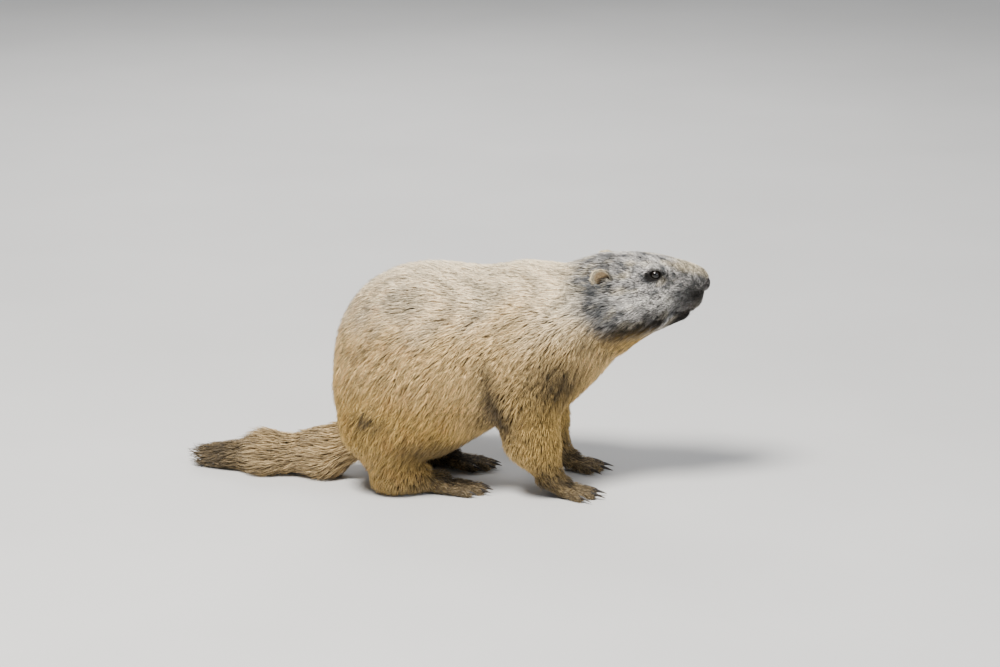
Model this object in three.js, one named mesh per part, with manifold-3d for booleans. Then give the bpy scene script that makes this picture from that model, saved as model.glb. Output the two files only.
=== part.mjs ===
// Alpine marmot, life size, as a still museum model.
//
// The animal stands on all fours with its head held level, in millimetres. +X runs from tail to nose,
// +Y is the animal's left and +Z is up. The floor is z = 0 and the origin is under the middle of the body.
//
// The whole outer form, out to the tips of the coat, is one distance field, positive outside and negative
// inside. It is put together from rounded bodies that melt into each other. Each part of the animal is that
// field meshed in its own box, at its own fineness, and trimmed by flat cuts just clear of its neighbours.

import * as THREE from "three";
import { mergeVertices } from "three/addons/utils/BufferGeometryUtils.js";
import Module from "manifold-3d";

const wasm = await Module();
wasm.setup();

// Driving dimensions, in millimetres.

const GAP = 0.4; // between two parts where the animal is parted
const FAR = 700; // a length past the whole animal
const EYE_RADII = [6, 6, 6];
const EYE_CENTRE = [206.5, 23, 224.5];
const EAR_CENTRE = [154, 34.5, 223];
const EAR_RADII = [8.5, 5, 10.4]; // half its width, thickness and height
const EAR_LEAN = 18; // degrees that the ear leans back
const CUP_RADII = [6, 4.5, 7.4]; // the hollow of the ear
const CUP_SHIFT = [2, 3.4, 0]; // from the middle of the ear, forward and outward

// Toes, as the place of each tip seen from above, from the outer toe inwards.
const FORE_PAW = {
  root: [117, 46, 9],
  spread: 0.35,
  tips: [[136, 64], [147, 53], [147, 41], [138, 31]],
};
const HIND_PAW = {
  root: [-8, 44, 8.5],
  spread: 0.45,
  tips: [[24, 60], [35, 51], [37, 42], [33, 33], [20, 27]],
};
const TOE = { rootRadius: 7, tipRadius: 4.8, tipHeight: 4.3 };
const FORE_CLAW = { length: 15, radius: 2.7 };
const HIND_CLAW = { length: 11, radius: 2.5 };
const CLAW_DROOP = 0.16; // of its length, how far a claw's point bends down
const CLAW_RISE = 6; // height of a claw's root

// Fineness of each part's mesh: the size of a cell.
const CELL = {
  trunk: 20, neck: 16, head: 8.8, jaw: 8, nose: 6, tail: 11,
  foreleg: 12.5, hindleg: 13, forepaw: 5.4, hindpaw: 6.2,
};

// Rounded bodies. Each function gives the distance from a point to the surface of one body.

const radians = (degrees) => (degrees * Math.PI) / 180;
const mix = (a, b, t) => a + (b - a) * t;
const clamp = (v) => Math.min(1, Math.max(0, v));
const dot = (a, b) => a[0] * b[0] + a[1] * b[1] + a[2] * b[2];

// An egg-like ball with three half-axes, nose-up by pitch degrees.
function ball(p, centre, radii, pitch = 0) {
  const c = Math.cos(radians(pitch)), s = Math.sin(radians(pitch));
  const x = p[0] - centre[0], y = p[1] - centre[1], z = p[2] - centre[2];
  const q = [x * c + z * s, y, -x * s + z * c];
  const k0 = Math.hypot(q[0] / radii[0], q[1] / radii[1], q[2] / radii[2]);
  const k1 = Math.hypot(q[0] / radii[0] ** 2, q[1] / radii[1] ** 2, q[2] / radii[2] ** 2);
  return (k0 * (k0 - 1)) / Math.max(k1, 1e-6);
}

// A tapered limb from a to b. wide stretches it across, level with the floor.
function limb(p, a, b, radiusA, radiusB, wide = 1) {
  const along = [b[0] - a[0], b[1] - a[1], b[2] - a[2]];
  const q = [p[0] - a[0], p[1] - a[1], p[2] - a[2]];
  const level = Math.hypot(along[0], along[1]);
  if (wide !== 1 && level > 0) {
    const across = (-along[1] * q[0] + along[0] * q[1]) / level;
    const shrink = across * (1 - 1 / wide);
    q[0] += (along[1] / level) * shrink;
    q[1] -= (along[0] / level) * shrink;
  }
  const t = clamp(dot(q, along) / dot(along, along));
  return Math.hypot(q[0] - t * along[0], q[1] - t * along[1], q[2] - t * along[2]) - mix(radiusA, radiusB, t);
}

// Two bodies as one, with a fillet about as wide as melt.
function join(a, b, melt) {
  const h = clamp(0.5 + (0.5 * (b - a)) / melt);
  return mix(b, a, h) - melt * h * (1 - h);
}

// The parts of the animal. All but the tail are drawn for the left side and mirrored.

function trunkField(p) {
  let d = ball(p, [-33, 0, 123], [82, 84, 92], 10);
  d = join(d, ball(p, [12, 0, 140], [92, 84, 80]), 44);
  d = join(d, ball(p, [84, 0, 158], [70, 60, 58], -10), 44);
  d = join(d, ball(p, [-46, 42, 92], [58, 42, 52], -20), 40); // thigh
  return join(d, ball(p, [82, 36, 128], [40, 32, 50], 10), 40); // shoulder
}

function neckField(p) {
  const nape = limb(p, [95, 0, 170], [150, 0, 186], 52, 45);
  return join(nape, limb(p, [104, 0, 126], [146, 0, 153], 34, 25), 26);
}

function headField(p) {
  let d = ball(p, [172, 0, 206.5], [50, 37, 33.5]);
  d = join(d, ball(p, [200, 0, 224], [30, 28, 12.5]), 14); // brow
  d = join(d, limb(p, [194, 0, 205], [228, 0, 210], 27, 22.5, 0.95), 16); // snout
  d = join(d, ball(p, [240, 0, 213], [19.5, 18, 15.5], 16), 10);
  d = join(d, ball(p, [237, 8, 198], [16, 12, 13]), 7); // lip
  d = join(d, ball(p, [184, 19, 184], [38, 22, 24], 14), 20); // cheek
  return join(d, limb(p, [172, 0, 166], [229, 0, 183], 19, 10.5, 1.15), 13); // lower jaw
}

function tailField(p) {
  let d = limb(p, [-90, 0, 46], [-125, 0, 26], 25, 23);
  d = join(d, limb(p, [-125, 0, 26], [-185, 6, 20], 23, 21), 16);
  return join(d, limb(p, [-185, 6, 20], [-247, 20, 12], 21, 12.5), 16);
}

function pawField(p, paw) {
  let d = Infinity;
  for (const [x, y] of paw.tips) {
    const knuckle = [paw.root[0], mix(paw.root[1], y, paw.spread), paw.root[2]];
    const toe = limb(p, knuckle, [x, y, TOE.tipHeight], TOE.rootRadius, TOE.tipRadius);
    d = d === Infinity ? toe : join(d, toe, 3);
  }
  return d;
}

function forelegField(p) {
  const arm = limb(p, [80, 52, 104], [87, 50, 62], 32, 25);
  const leg = join(arm, limb(p, [87, 50, 62], [104, 46, 26], 24, 15), 22);
  const wrist = limb(p, [103, 46, 20], [118, 47, 12], 13, 11, 1.2);
  return join(leg, join(wrist, pawField(p, FORE_PAW), 3), 6);
}

function hindlegField(p) {
  const shank = limb(p, [-62, 52, 66], [-50, 50, 24], 38, 22);
  const leg = join(shank, limb(p, [-54, 50, 19], [-30, 47, 17], 18, 16), 20);
  const sole = limb(p, [-45, 50, 12], [-4, 44, 12], 12, 11, 1.2);
  return join(leg, join(sole, pawField(p, HIND_PAW), 3), 6);
}

// The whole animal without ears, eyes and claws.
function bodyField(p) {
  const s = [p[0], Math.abs(p[1]), p[2]];
  let d = join(trunkField(s), neckField(s), 36);
  d = join(d, headField(s), 22);
  d = join(d, tailField(p), 24);
  d = join(d, forelegField(s), 24);
  return join(d, hindlegField(s), 24);
}

// Meshing: a vertex in every cell that the surface crosses, pulled onto the surface, and a quad round every
// grid edge that it crosses.

function slope(field, p, step = 0.5) {
  return [0, 1, 2].map((axis) => {
    const ahead = [...p], behind = [...p];
    ahead[axis] += step;
    behind[axis] -= step;
    return (field(ahead) - field(behind)) / (2 * step);
  });
}

function pullToSurface(field, p) {
  for (let turn = 0; turn < 2; turn++) {
    const g = slope(field, p);
    const share = field(p) / Math.max(dot(g, g), 0.2);
    p = p.map((v, axis) => v - g[axis] * share);
  }
  return p;
}

function meshField(field, low, high, cell) {
  const count = low.map((v, axis) => Math.ceil((high[axis] - v) / cell) + 1);
  const at = (i, j, k) => (i * count[1] + j) * count[2] + k;
  const place = (i, j, k) => [low[0] + i * cell, low[1] + j * cell, low[2] + k * cell];
  const value = new Float64Array(count[0] * count[1] * count[2]);
  const edge = (n, axis) => n === 0 || n === count[axis] - 1;
  for (let i = 0; i < count[0]; i++)
    for (let j = 0; j < count[1]; j++)
      for (let k = 0; k < count[2]; k++) {
        const d = field(place(i, j, k));
        value[at(i, j, k)] = edge(i, 0) || edge(j, 1) || edge(k, 2) ? Math.max(d, cell / 2) : d;
      }

  const corners = [0, 1, 2, 3, 4, 5, 6, 7].map((n) => [n & 1, (n >> 1) & 1, (n >> 2) & 1]);
  const cellEdges = [];
  corners.forEach((a, m) => corners.forEach((b, n) => {
    const apart = Math.abs(a[0] - b[0]) + Math.abs(a[1] - b[1]) + Math.abs(a[2] - b[2]);
    if (m < n && apart === 1) cellEdges.push([m, n]);
  }));

  const vertexOf = new Map();
  const positions = [];
  for (let i = 0; i + 1 < count[0]; i++)
    for (let j = 0; j + 1 < count[1]; j++)
      for (let k = 0; k + 1 < count[2]; k++) {
        const v = corners.map(([a, b, c]) => value[at(i + a, j + b, k + c)]);
        const crossed = cellEdges.filter(([m, n]) => v[m] < 0 !== v[n] < 0);
        if (!crossed.length) continue;
        const sum = [0, 0, 0];
        for (const [m, n] of crossed) {
          const t = v[m] / (v[m] - v[n]);
          for (let axis = 0; axis < 3; axis++) sum[axis] += mix(corners[m][axis], corners[n][axis], t);
        }
        const middle = place(i, j, k).map((c, axis) => c + (sum[axis] / crossed.length) * cell);
        vertexOf.set(at(i, j, k), positions.length / 3);
        positions.push(...pullToSurface(field, middle));
      }

  const index = [];
  const steps = [[1, 0, 0], [0, 1, 0], [0, 0, 1]];
  for (let i = 0; i + 1 < count[0]; i++)
    for (let j = 0; j + 1 < count[1]; j++)
      for (let k = 0; k + 1 < count[2]; k++)
        for (let axis = 0; axis < 3; axis++) {
          const [di, dj, dk] = steps[axis];
          if ((!di && !i) || (!dj && !j) || (!dk && !k)) continue;
          const here = value[at(i, j, k)] < 0;
          if (here === value[at(i + di, j + dj, k + dk)] < 0) continue;
          const [bi, bj, bk] = steps[(axis + 1) % 3], [ci, cj, ck] = steps[(axis + 2) % 3];
          const quad = [
            at(i - bi - ci, j - bj - cj, k - bk - ck),
            at(i - ci, j - cj, k - ck),
            at(i, j, k),
            at(i - bi, j - bj, k - bk),
          ].map((n) => vertexOf.get(n));
          if (!here) quad.reverse();
          index.push(quad[0], quad[1], quad[2], quad[0], quad[2], quad[3]);
        }
  return new THREE.BufferGeometry()
    .setAttribute("position", new THREE.Float32BufferAttribute(positions, 3))
    .setIndex(index);
}

// Cuts and joins of closed meshes.

function toSolid(geometry) {
  const bare = geometry.clone();
  bare.deleteAttribute("normal");
  bare.deleteAttribute("uv");
  const merged = mergeVertices(bare, 1e-3);
  return new wasm.Manifold(new wasm.Mesh({
    numProp: 3,
    vertProperties: new Float32Array(merged.attributes.position.array),
    triVerts: new Uint32Array(merged.index.array),
  }));
}

// The solid's mesh, its slivers narrower than weld closed up.
function toGeometry(solid, weld = 0.05) {
  const mesh = solid.getMesh();
  const fine = new THREE.BufferGeometry();
  fine.setAttribute("position", new THREE.Float32BufferAttribute(mesh.vertProperties, 3));
  fine.setIndex(new THREE.BufferAttribute(mesh.triVerts, 1));
  const geometry = mergeVertices(fine, weld);
  const index = geometry.index.array;
  const kept = [];
  for (let n = 0; n < index.length; n += 3) {
    const [a, b, c] = index.slice(n, n + 3);
    if (a !== b && b !== c && c !== a) kept.push(a, b, c);
  }
  geometry.setIndex(kept);
  geometry.computeVertexNormals();
  return geometry;
}

// A flat cut: a point on it and the way it faces. Each part keeps the side that the cut faces.
function cut(point, facing) {
  const size = Math.hypot(...facing);
  return { point, facing: facing.map((v) => v / size) };
}
const otherSide = ({ point, facing }) => ({ point, facing: facing.map((v) => -v) });
const mirrorY = ([x, y, z]) => [x, -y, z];
const mirrored = ({ point, facing }) => cut(mirrorY(point), mirrorY(facing));

// A block that fills everything on the side a cut faces, set back by half the gap.
function block({ point, facing }, setBack = GAP / 2) {
  const geometry = new THREE.BoxGeometry(2 * FAR, 2 * FAR, FAR);
  const way = new THREE.Vector3(...facing);
  geometry.translate(0, 0, FAR / 2 + setBack);
  geometry.applyQuaternion(new THREE.Quaternion().setFromUnitVectors(new THREE.Vector3(0, 0, 1), way));
  geometry.translate(...point);
  return toSolid(geometry);
}

// The space in front of every one of these cuts.
function wedge(cuts, setBack) {
  return cuts.map((c) => block(c, setBack)).reduce((a, b) => a.intersect(b));
}

const FLOOR = cut([0, 0, -GAP / 2], [0, 0, 1]); // the set-back brings this one to z = 0

const CUTS = {
  nose: cut([251.5, 0, 212], [0.96, 0, 0.28]),
  mouth: cut([243, 0, 185], [0.12, 0, -0.99]),
  jawHinge: cut([203, 0, 165], [1, 0, -0.2]),
  nape: cut([138, 0, 190], [0.957, 0, 0.29]),
  collar: cut([115, 0, 165], [0.927, 0, 0.374]),
  tailRoot: cut([-111, 0, 42], [-0.81, 0, -0.59]),
  forearm: cut([84, 0, 63], [0.25, 0.5, -1]),
  behindForearm: cut([42, 0, 60], [1, 0, 0]),
  wrist: cut([104, 46, 22], [0.42, 0, -0.91]),
  thigh: cut([-50, 0, 31], [-0.2, 0.5, -1]),
  aheadOfShank: cut([44, 0, 30], [-1, 0, 0]),
  ankle: cut([-36, 50, 15], [0.72, 0, -0.69]),
  instep: cut([0, 0, 32], [0, 0, -1]),
  leftSide: cut([0, 0.4, 0], [0, 1, 0]),
};

// The animal between two corners, on the side that the cuts face. Only what lies near the cuts is meshed.
function part(cell, low, high, cuts) {
  const slack = 1.6 * cell;
  const field = (p) => {
    let d = bodyField(p);
    for (const { point, facing } of cuts) {
      const before = dot(facing, point) - dot(facing, p);
      d = Math.max(d, before - slack);
    }
    return d;
  };
  return toSolid(meshField(field, low, high, cell)).intersect(wedge(cuts));
}

// The head's own pieces.

function orb(centre, radii, lean = 0) {
  const geometry = new THREE.SphereGeometry(1, 12, 8);
  geometry.rotateX(Math.PI / 2);
  geometry.scale(...radii);
  geometry.rotateY(-radians(lean));
  geometry.translate(...centre);
  return geometry;
}

function makeEar() {
  const cupCentre = EAR_CENTRE.map((v, axis) => v + CUP_SHIFT[axis]);
  const shell = toSolid(orb(EAR_CENTRE, EAR_RADII, EAR_LEAN));
  const cup = toSolid(orb(cupCentre, CUP_RADII, EAR_LEAN));
  return shell.subtract(cup);
}

function makeHead() {
  const { nose, mouth, jawHinge, nape } = CUTS;
  const whole = part(CELL.head, [110, -56, 126], [272, 56, 250], [otherSide(nose), nape]);
  let head = whole.subtract(wedge([mouth, jawHinge], -GAP / 2));
  for (const side of [1, -1]) {
    const at = side > 0 ? (c) => c : mirrorY;
    head = head.subtract(toSolid(orb(at(EYE_CENTRE), EYE_RADII.map((r) => r + GAP))));
    head = head.subtract(toSolid(orb(at(EAR_CENTRE), EAR_RADII.map((r) => r + GAP), EAR_LEAN)));
  }
  return head;
}

// A claw: a cone whose point droops, its root sunk against the toe.
function makeClaw({ length, radius }, root, tip) {
  const geometry = new THREE.ConeGeometry(radius, length, 6, 2);
  geometry.rotateZ(-Math.PI / 2);
  geometry.translate(length / 2, 0, 0);
  const position = geometry.attributes.position;
  for (let i = 0; i < position.count; i++) {
    const share = position.getX(i) / length;
    position.setZ(i, position.getZ(i) * 0.9 - CLAW_DROOP * length * share * (0.6 + share));
    position.setY(i, position.getY(i) * 0.75);
  }
  geometry.rotateZ(Math.atan2(tip[1] - root[1], tip[0] - root[0]));
  geometry.translate(tip[0], tip[1], CLAW_RISE);
  return geometry;
}

// Claws of one paw, each trimmed where its toe ends.
function makeClaws(paw, claw) {
  return paw.tips.map(([x, y]) => {
    const root = [paw.root[0], mix(paw.root[1], y, paw.spread)];
    const solid = toSolid(makeClaw(claw, root, [x, y]));
    const grown = (p) => bodyField(p) - GAP;
    const reach = TOE.tipRadius * 2.6;
    const toe = toSolid(meshField(grown, [x - reach, y - reach, -2], [x + reach, y + reach, 2 * reach], 2.6));
    return solid.subtract(toe);
  });
}

// The model.

const coat = (colour) => new THREE.MeshStandardMaterial({ color: colour, roughness: 0.95, metalness: 0 });
const MATERIALS = {
  body: coat(0xb9986b),
  head: coat(0x8a8378),
  throat: coat(0xa58a60),
  paw: coat(0x6b5a45),
  tail: coat(0x8d6f4c),
  ear: coat(0xc2b190),
  nose: new THREE.MeshStandardMaterial({ color: 0x1d1916, roughness: 0.5, metalness: 0 }),
  eye: new THREE.MeshStandardMaterial({ color: 0x0c0a09, roughness: 0.08, metalness: 0 }),
  claw: new THREE.MeshStandardMaterial({ color: 0x24201c, roughness: 0.45, metalness: 0 }),
};

const marmot = new THREE.Group();
marmot.name = "alpine_marmot";

function add(name, geometry, material) {
  const mesh = new THREE.Mesh(geometry, material);
  mesh.name = name;
  marmot.add(mesh);
  return mesh;
}

// The same piece on both sides. The right one is the left one mirrored.
function addPair(name, geometry, material) {
  add(`${name}_left`, geometry, material);
  add(`${name}_right`, geometry, material).scale.set(1, -1, 1);
}

const { nose, mouth, jawHinge, nape, collar, tailRoot, wrist } = CUTS;
const foreSide = [CUTS.forearm, CUTS.behindForearm, CUTS.leftSide];
const hindSide = [CUTS.thigh, CUTS.aheadOfShank, otherSide(tailRoot), CUTS.leftSide];
const pawSide = [CUTS.ankle, CUTS.instep];

add("head", toGeometry(makeHead()), MATERIALS.head);
const jaw = part(CELL.jaw, [190, -40, 130], [262, 40, 205], [mouth, jawHinge]);
add("jaw", toGeometry(jaw), MATERIALS.throat);
add("nose", toGeometry(part(CELL.nose, [238, -32, 170], [270, 32, 236], [nose])), MATERIALS.nose);
const neck = part(CELL.neck, [60, -90, 56], [180, 90, 262], [otherSide(nape), collar]);
add("neck", toGeometry(neck), MATERIALS.throat);

let trunk = part(CELL.trunk, [-150, -120, 0], [172, 120, 262], [otherSide(collar), otherSide(tailRoot)]);
for (const side of [foreSide, hindSide]) {
  trunk = trunk.subtract(wedge(side, -GAP / 2));
  trunk = trunk.subtract(wedge(side.map(mirrored), -GAP / 2));
}
add("trunk", toGeometry(trunk), MATERIALS.body);

const tail = part(CELL.tail, [-280, -60, -20], [-70, 60, 90], [tailRoot, FLOOR]);
add("tail", toGeometry(tail), MATERIALS.tail);

const foreleg = part(CELL.foreleg, [28, -8, 4], [150, 110, 140], [...foreSide, otherSide(wrist)]);
addPair("foreleg", toGeometry(foreleg), MATERIALS.body);
const forepaw = part(CELL.forepaw, [80, 10, -8], [160, 84, 46], [wrist, FLOOR]);
addPair("forepaw", toGeometry(forepaw), MATERIALS.paw);

const hindleg = part(CELL.hindleg, [-140, -8, -16], [62, 120, 110], [...hindSide, FLOOR]);
addPair("hindleg", toGeometry(hindleg.subtract(wedge(pawSide, -GAP / 2))), MATERIALS.body);
const hindpaw = part(CELL.hindpaw, [-64, 8, -8], [50, 90, 48], [...pawSide, ...hindSide, FLOOR]);
addPair("hindpaw", toGeometry(hindpaw), MATERIALS.paw);

addPair("ear", toGeometry(makeEar()), MATERIALS.ear);
addPair("eye", orb(EYE_CENTRE, EYE_RADII), MATERIALS.eye);

function addClaws(name, claws) {
  claws.forEach((claw, n) => addPair(`${name}_claw_${n + 1}`, toGeometry(claw), MATERIALS.claw));
}

addClaws("fore", makeClaws(FORE_PAW, FORE_CLAW));
addClaws("hind", makeClaws(HIND_PAW, HIND_CLAW));

export default marmot;
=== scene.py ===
# %% [markdown]
# # An alpine marmot, life size
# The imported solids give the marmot's true outline, out to the tips of its fur. Here that outline becomes
# an animal: one skin a coat's depth inside it, a coat of solid tufts that fills the space between, and
# the eyes, ears, nose and claws. Shapes are worked out in millimetres, and each mesh is turned into
# metres at the end.

# %% The frame
import math
import bpy
import numpy as np
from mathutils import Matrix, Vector


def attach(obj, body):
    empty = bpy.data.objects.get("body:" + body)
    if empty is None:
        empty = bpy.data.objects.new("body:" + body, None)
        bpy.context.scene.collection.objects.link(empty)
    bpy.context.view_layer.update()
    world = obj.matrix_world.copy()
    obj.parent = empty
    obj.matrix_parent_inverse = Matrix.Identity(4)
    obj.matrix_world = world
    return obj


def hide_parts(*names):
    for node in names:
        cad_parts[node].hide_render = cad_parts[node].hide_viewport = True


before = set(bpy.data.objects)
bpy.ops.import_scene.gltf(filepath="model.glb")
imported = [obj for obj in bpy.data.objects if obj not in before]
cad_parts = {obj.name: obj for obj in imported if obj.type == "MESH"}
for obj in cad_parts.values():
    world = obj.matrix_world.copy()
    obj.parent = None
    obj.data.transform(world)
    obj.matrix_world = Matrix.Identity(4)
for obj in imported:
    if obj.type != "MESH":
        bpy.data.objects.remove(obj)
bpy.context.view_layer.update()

MM = 0.001
print("nodes in the frame:", len(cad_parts))

# %% [markdown]
# ## Rounded bodies
# A soft body has no edges to draw. A distance field suits it: a function that tells how far a point lies
# outside the body. Egg-like balls and tapered limbs melt into each other where their fields are joined
# with a fillet.

# %% Shapes as distance fields
def ball(p, centre, radii, pitch=0.0):
    """Distance to an ellipsoid: k0 (k0 - 1) / k1, with k0 = |q / radii| and k1 = |q / radii squared|."""
    c, s = math.cos(math.radians(pitch)), math.sin(math.radians(pitch))
    x, y, z = (p[:, axis] - centre[axis] for axis in range(3))
    q = (x * c + z * s, y, z * c - x * s)
    k0 = np.sqrt(sum((v / r) ** 2 for v, r in zip(q, radii)))
    k1 = np.sqrt(sum((v / r ** 2) ** 2 for v, r in zip(q, radii)))
    return k0 * (k0 - 1) / np.maximum(k1, 1e-6)


def limb(p, a, b, radius_a, radius_b, wide=1.0):
    """Distance to the nearest point of the line from a to b, less a radius that changes evenly along it."""
    a, b = np.array(a, p.dtype), np.array(b, p.dtype)
    along = b - a
    q = p - a
    if wide != 1.0:
        across = np.array([-along[1], along[0], 0], p.dtype) / math.hypot(along[0], along[1])
        q = q - (q @ across * (1 - 1 / wide))[:, None] * across
    t = np.clip(q @ along / (along @ along), 0, 1)
    return np.linalg.norm(q - t[:, None] * along, axis=1) - (radius_a + (radius_b - radius_a) * t)


def join(a, b, melt):
    """The smaller of two distances, with a fillet: mix(b, a, h) - melt h (1 - h), where h is
    1/2 + (b - a) / 2 melt."""
    h = np.clip(0.5 + 0.5 * (b - a) / melt, 0, 1)
    return b + (a - b) * h - melt * h * (1 - h)


def ramp(v, low, high):
    """0 below low, 1 above high, and the smooth curve t t (3 - 2 t) between."""
    t = np.clip((v - low) / (high - low), 0, 1)
    return t * t * (3 - 2 * t)


def unit(v):
    """Vectors divided by their own length."""
    return v / np.maximum(np.linalg.norm(v, axis=-1, keepdims=True), 1e-9)


print("20 mm from the middle of a ball of 10 mm:", ball(np.array([[20.0, 0, 0]]), (0, 0, 0), (10, 10, 10)))

# %% [markdown]
# ## The marmot's parts
# These are the bodies of the solids again, in the same places, so that the skin fits inside them. A
# heavy hindquarter and a deep chest carry a thick neck and a long flat head. The toes fan out from each
# paw.

# %% Paws, eyes and ears: where they are
FORE_TOES = [(136, 64), (147, 53), (147, 41), (138, 31)]
HIND_TOES = [(24, 60), (35, 51), (37, 42), (33, 33), (20, 27)]
FORE_ROOT, FORE_SPREAD = (117, 46, 9), 0.35
HIND_ROOT, HIND_SPREAD = (-8, 44, 8.5), 0.45
TOE_TIP_RADIUS, TOE_TIP_HEIGHT = 4.8, 4.3
EYE = np.array([206.5, 23.0, 224.5])
EYE_RADIUS = 6.0
EAR = np.array([154.0, 34.5, 223.0])
print("toes on a forepaw and on a hind paw:", len(FORE_TOES), "and", len(HIND_TOES))

# %% [markdown]
# The trunk is a haunch, a belly, a chest, a thigh and a shoulder, with wide fillets, because fat and fur
# hide where they meet. The neck is a nape above and a throat below.

# %% Trunk and neck
def trunk(p):
    d = ball(p, (-33, 0, 123), (82, 84, 92), 10)
    d = join(d, ball(p, (12, 0, 140), (92, 84, 80)), 44)
    d = join(d, ball(p, (84, 0, 158), (70, 60, 58), -10), 44)
    d = join(d, ball(p, (-46, 42, 92), (58, 42, 52), -20), 40)
    return join(d, ball(p, (82, 36, 128), (40, 32, 50), 10), 40)


def neck(p):
    nape = limb(p, (95, 0, 170), (150, 0, 186), 52, 45)
    return join(nape, limb(p, (104, 0, 126), (146, 0, 153), 34, 25), 26)


print("from a place over the haunches to the trunk:", trunk(np.array([[-40.0, 0, 230]])).round(1), "mm")

# %% [markdown]
# The head is a skull, a brow that juts over the eyes, a blunt snout with its lip pad, a cheek and a jaw.
# Their fillets are small, so that each still shows. The tail bends a little to the left as it lies on
# the floor.

# %% Head and tail
def head(p):
    d = ball(p, (172, 0, 206.5), (50, 37, 33.5))
    d = join(d, ball(p, (200, 0, 224), (30, 28, 12.5)), 14)
    d = join(d, limb(p, (194, 0, 205), (228, 0, 210), 27, 22.5, 0.95), 16)
    d = join(d, ball(p, (240, 0, 213), (19.5, 18, 15.5), 16), 10)
    d = join(d, ball(p, (237, 8, 198), (16, 12, 13)), 7)
    d = join(d, ball(p, (184, 19, 184), (38, 22, 24), 14), 20)
    return join(d, limb(p, (172, 0, 166), (229, 0, 183), 19, 10.5, 1.15), 13)


def tail(p):
    d = limb(p, (-90, 0, 46), (-125, 0, 26), 25, 23)
    d = join(d, limb(p, (-125, 0, 26), (-185, 6, 20), 23, 21), 16)
    return join(d, limb(p, (-185, 6, 20), (-247, 20, 12), 21, 12.5), 16)


print("the eye's middle lies this deep in the head:", -head(EYE[None]).round(1), "mm")

# %% [markdown]
# Each leg is two tapered limbs. A paw has a flat base, and its toes leave it close together and spread
# towards their tips, with only a small fillet, so that gaps stay between them.

# %% Legs and paws
def foreleg(p):
    arm = limb(p, (80, 52, 104), (87, 50, 62), 32, 25)
    return join(arm, limb(p, (87, 50, 62), (104, 46, 26), 24, 15), 22)


def hindleg(p):
    shank = limb(p, (-62, 52, 66), (-50, 50, 24), 38, 22)
    return join(shank, limb(p, (-54, 50, 19), (-30, 47, 17), 18, 16), 20)


def knuckle(root, spread, toe):
    """Where a toe leaves the paw: the root, moved sideways by a share of the toe's own distance."""
    return (root[0], root[1] + (toe[1] - root[1]) * spread, root[2])


def paw(p, base, root, spread, toes):
    """The paw's base and its toes, each a limb from its knuckle to its tip."""
    d = base
    for toe in toes:
        start = knuckle(root, spread, toe)
        d = join(d, limb(p, start, (*toe, TOE_TIP_HEIGHT), 7, TOE_TIP_RADIUS), 3)
    return d


def forepaw(p):
    return paw(p, limb(p, (103, 46, 20), (118, 47, 12), 13, 11, 1.2), FORE_ROOT, FORE_SPREAD, FORE_TOES)


def hindpaw(p):
    return paw(p, limb(p, (-45, 50, 12), (-4, 44, 12), 12, 11, 1.2), HIND_ROOT, HIND_SPREAD, HIND_TOES)


print("the first toe goes this far under its tip:", forepaw(np.array([[136.0, 64, 0]])).round(1), "mm")

# %% [markdown]
# The whole outline joins the parts, widely at the shoulders and haunches, and narrowly where a leg meets
# its paw. The left half is read for both sides, except at the tail.

# %% The whole outline
PARTS = ["trunk", "neck", "head", "tail", "foreleg", "forepaw", "hindleg", "hindpaw"]


def part_distances(p):
    """One row for each name in PARTS. All but the tail are mirrored, by the size of y."""
    s = np.stack([p[:, 0], np.abs(p[:, 1]), p[:, 2]], 1)
    return np.stack([trunk(s), neck(s), head(s), tail(p), foreleg(s), forepaw(s), hindleg(s), hindpaw(s)])


def outline(d):
    """The whole animal out to its coat's tips, from its parts' distances."""
    whole = join(join(join(d[0], d[1], 36), d[2], 22), d[3], 24)
    whole = join(whole, join(d[4], d[5], 6), 24)
    return join(whole, join(d[6], d[7], 6), 24)


print("the eye's middle lies", outline(part_distances(EYE[None])).round(1), "mm from the outline")

# %% [markdown]
# ## How deep the coat is, and how it lies
# Each part has a coat of its own: long on the tail and body, short on the paws, and almost nothing round
# the mouth. At a point, the parts share by nearness, so that one coat passes into the next with no line.

# %% Depth and lie of the coat
def shares(d, reach=9.0):
    """How much each part counts at a point: exp(-(distance - nearest) / reach), made to add up to 1."""
    weight = np.exp(-(d - d.min(0)) / reach)
    return weight / weight.sum(0)


def blended(weight, values):
    """The parts' own values, mixed by their shares."""
    return sum(w * v for w, v in zip(weight, values))


def coat_depth(p, weight):
    """How far the skin lies inside the coat's tips, in millimetres."""
    x = p[:, 0]
    face = 8.0 - 5.2 * ramp(x, 135, 185) - 1.3 * ramp(x, 200, 246)
    paws = 1.5 * ramp(p[:, 2], -1, 5)
    return blended(weight, (10.5, 9.5, face, 8.0, 6.5, paws, 8.0, paws))


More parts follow.
